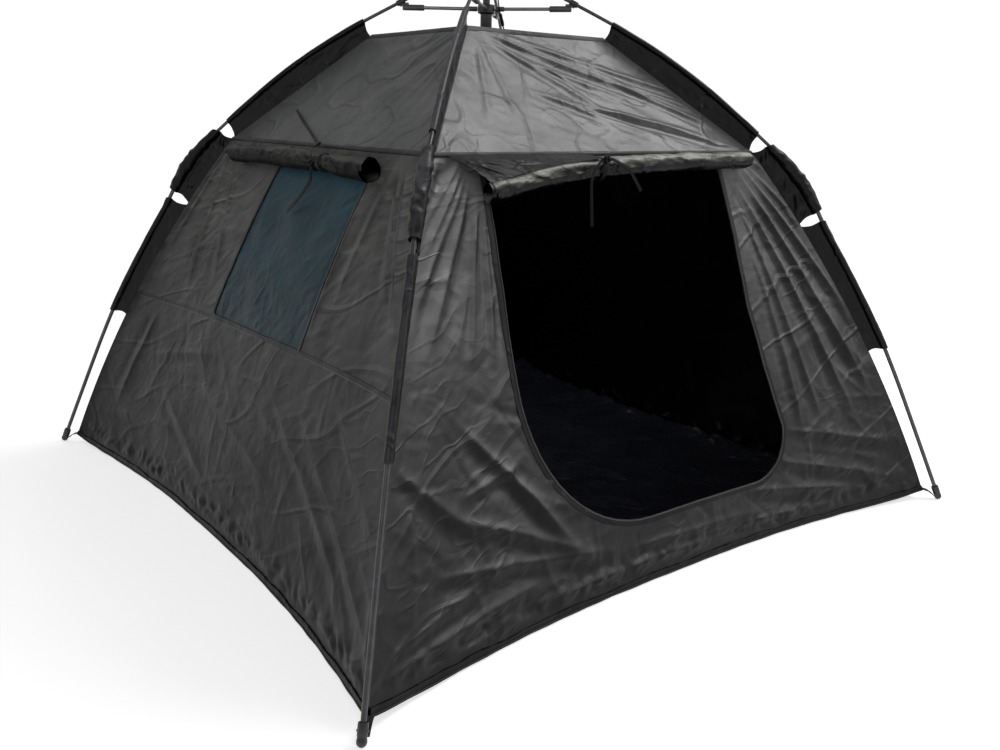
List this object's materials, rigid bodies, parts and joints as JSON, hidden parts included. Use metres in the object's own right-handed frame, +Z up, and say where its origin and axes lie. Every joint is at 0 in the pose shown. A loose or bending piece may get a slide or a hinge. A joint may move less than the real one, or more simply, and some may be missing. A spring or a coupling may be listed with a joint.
{
  "type": "umbrella tent",
  "caption": "Square pop-up tent hung inside four sprung corner poles from a central umbrella hub, with a rolled-up doorway, a screened window and a mesh roof vent.",
  "frame": {"origin": "ground level, under the hub at the centre of the tent", "axes": "+Z up, -Y the doorway side, -X the window side"},
  "size_m": [2.1954, 2.1954, 1.65],
  "materials": {
    "shell_fabric": "coated, glossy",
    "sleeve_fabric": "matt",
    "groundsheet": "coated",
    "window_mesh": "fine mesh",
    "roll_fabric": "coated, glossy",
    "pole_metal": "satin",
    "black_plastic": "moulded",
    "webbing": "woven"
  },
  "bodies": {
    "root": {"upper_pole_near": "pole_metal", "lower_pole_near": "pole_metal", "foot_near": "black_plastic", "corner_strap_near": "webbing", "strut_near": "pole_metal", "upper_sleeve_near": "sleeve_fabric", "knee_cover_near": "sleeve_fabric", "lower_sleeve_near": "sleeve_fabric", "upper_pole_right": "pole_metal", "lower_pole_right": "pole_metal", "foot_right": "black_plastic", "corner_strap_right": "webbing", "strut_right": "pole_metal", "upper_sleeve_right": "sleeve_fabric", "knee_cover_right": "sleeve_fabric", "lower_sleeve_right": "sleeve_fabric", "upper_pole_left": "pole_metal", "lower_pole_left": "pole_metal", "foot_left": "black_plastic", "corner_strap_left": "webbing", "strut_left": "pole_metal", "upper_sleeve_left": "sleeve_fabric", "knee_cover_left": "sleeve_fabric", "lower_sleeve_left": "sleeve_fabric", "upper_pole_far": "pole_metal", "lower_pole_far": "pole_metal", "foot_far": "black_plastic", "corner_strap_far": "webbing", "strut_far": "pole_metal", "upper_sleeve_far": "sleeve_fabric", "knee_cover_far": "sleeve_fabric", "lower_sleeve_far": "sleeve_fabric", "front_wall": "shell_fabric", "left_wall": "shell_fabric", "back_wall": "shell_fabric", "right_wall": "shell_fabric", "window_mesh": "window_mesh", "roof": "shell_fabric", "top_mesh": "window_mesh", "floor": "groundsheet", "top_hub": "black_plastic", "centre_post": "pole_metal", "slider": "black_plastic", "pull_cord": "webbing", "door_roll": "roll_fabric", "window_roll": "roll_fabric", "door_tie": "webbing", "window_tie": "webbing", "door_knot": "webbing", "window_knot": "webbing", "door_tail_long": "webbing", "door_tail_short": "webbing", "window_tail_low": "webbing", "window_tail_high": "webbing"}
  },
  "joints": []
}
